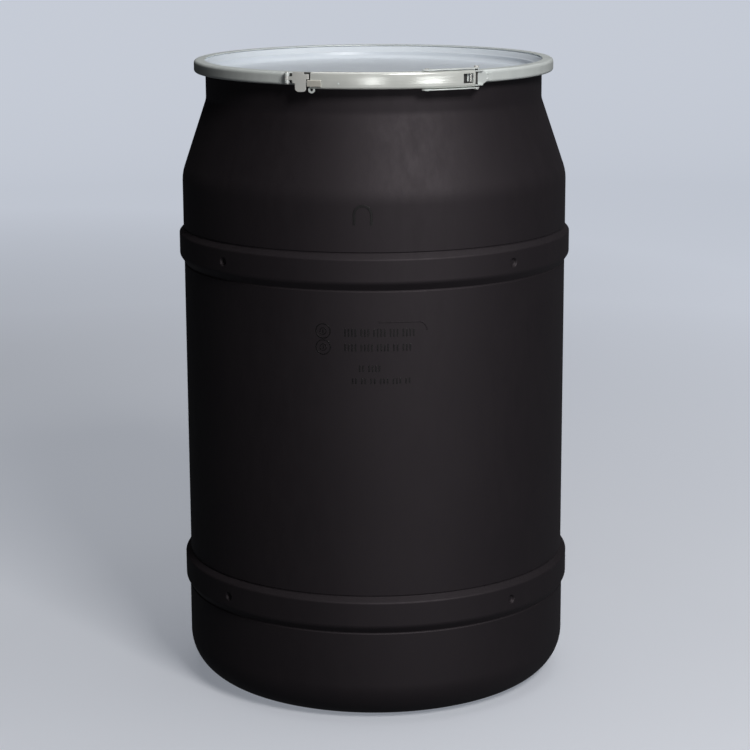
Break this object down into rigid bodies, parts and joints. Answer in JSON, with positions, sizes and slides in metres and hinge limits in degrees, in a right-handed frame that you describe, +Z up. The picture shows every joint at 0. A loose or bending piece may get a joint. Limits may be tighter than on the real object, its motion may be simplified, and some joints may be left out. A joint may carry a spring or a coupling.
{
  "type": "open-head drum",
  "caption": "Open-head plastic drum with rolling hoops, a recessed lid and a lever-lock steel closing ring.",
  "frame": {"origin": "centre of the base, on the floor", "axes": "+Z up; -Y is the front, the side with the lever; +X is to the right seen from the front"},
  "size_m": [0.5808, 0.5808, 0.9329],
  "materials": {
    "drum_plastic": "satin black, moulded",
    "lid_plastic": "satin, off-white",
    "gasket_rubber": "matte black",
    "ring_steel": "galvanised, semi-gloss",
    "pin_steel": "zinc plated"
  },
  "bodies": {
    "drum": {"drum_body": "drum_plastic"},
    "lid": {"lid": "lid_plastic", "lid_gasket": "gasket_rubber"},
    "ring": {"ring_band_rear": "ring_steel"},
    "ring_left": {"ring_band_left": "ring_steel", "fulcrum_bracket": "ring_steel", "fulcrum_pin": "pin_steel", "fulcrum_rivet_1": "pin_steel", "fulcrum_rivet_2": "pin_steel", "latch_base": "ring_steel", "latch_pin": "pin_steel", "latch_rivet_1": "pin_steel", "latch_rivet_2": "pin_steel"},
    "ring_right": {"ring_band_right": "ring_steel", "anchor_bracket": "ring_steel", "anchor_pin": "pin_steel", "anchor_rivet_1": "pin_steel", "anchor_rivet_2": "pin_steel"},
    "lever": {"lever": "ring_steel", "link_pin": "pin_steel", "seal_eye": "ring_steel", "seal_eye_rivet": "pin_steel"},
    "link": {"link_upper": "ring_steel", "link_lower": "ring_steel", "link_rivet_upper": "pin_steel", "link_rivet_lower": "pin_steel"},
    "latch": {"latch": "ring_steel"}
  },
  "joints": [
    {"name": "lid_lift", "type": "slide", "parent": "drum", "child": "lid", "axis": [0, 0, 1], "range_m": [0, 0.25]},
    {"name": "ring_lift", "type": "slide", "parent": "lid", "child": "ring", "axis": [0, 0, 1], "range_m": [0, 0.15], "deforming": ["ring_band_rear", "ring_band_left", "ring_band_right"]},
    {"name": "lever_swing", "type": "hinge", "parent": "ring_left", "child": "lever", "pos_m": [0.1327, -0.22984, 0.9163], "axis": [0, 0, 1], "range_deg": [0, 120]},
    {"name": "ring_left_flex", "type": "hinge", "parent": "ring", "child": "ring_left", "pos_m": [-0.17721, 0.19407, 0.9173], "axis": [0, 0, 1], "range_deg": [-3.1, 0]},
    {"name": "ring_right_flex", "type": "hinge", "parent": "ring", "child": "ring_right", "pos_m": [-0.08295, 0.24937, 0.9173], "axis": [0, 0, 1], "range_deg": [0, 3.1]},
    {"name": "link_turn", "type": "hinge", "parent": "ring_right", "child": "link", "pos_m": [0.14067, -0.226, 0.9163], "axis": [0, 0, 1], "range_deg": [0, 60]},
    {"name": "latch_swing", "type": "hinge", "parent": "ring_left", "child": "latch", "pos_m": [-0.11806, -0.23993, 0.9185], "axis": [0, 0, -1], "range_deg": [0, 110]}
  ],
  "couplings": [
    {"joint": "ring_left_flex", "follows": "lever_swing", "ratio": -0.025134},
    {"joint": "ring_right_flex", "follows": "lever_swing", "ratio": 0.025134},
    {"joint": "link_turn", "follows": "lever_swing", "ratio": 0.49761}
  ]
}
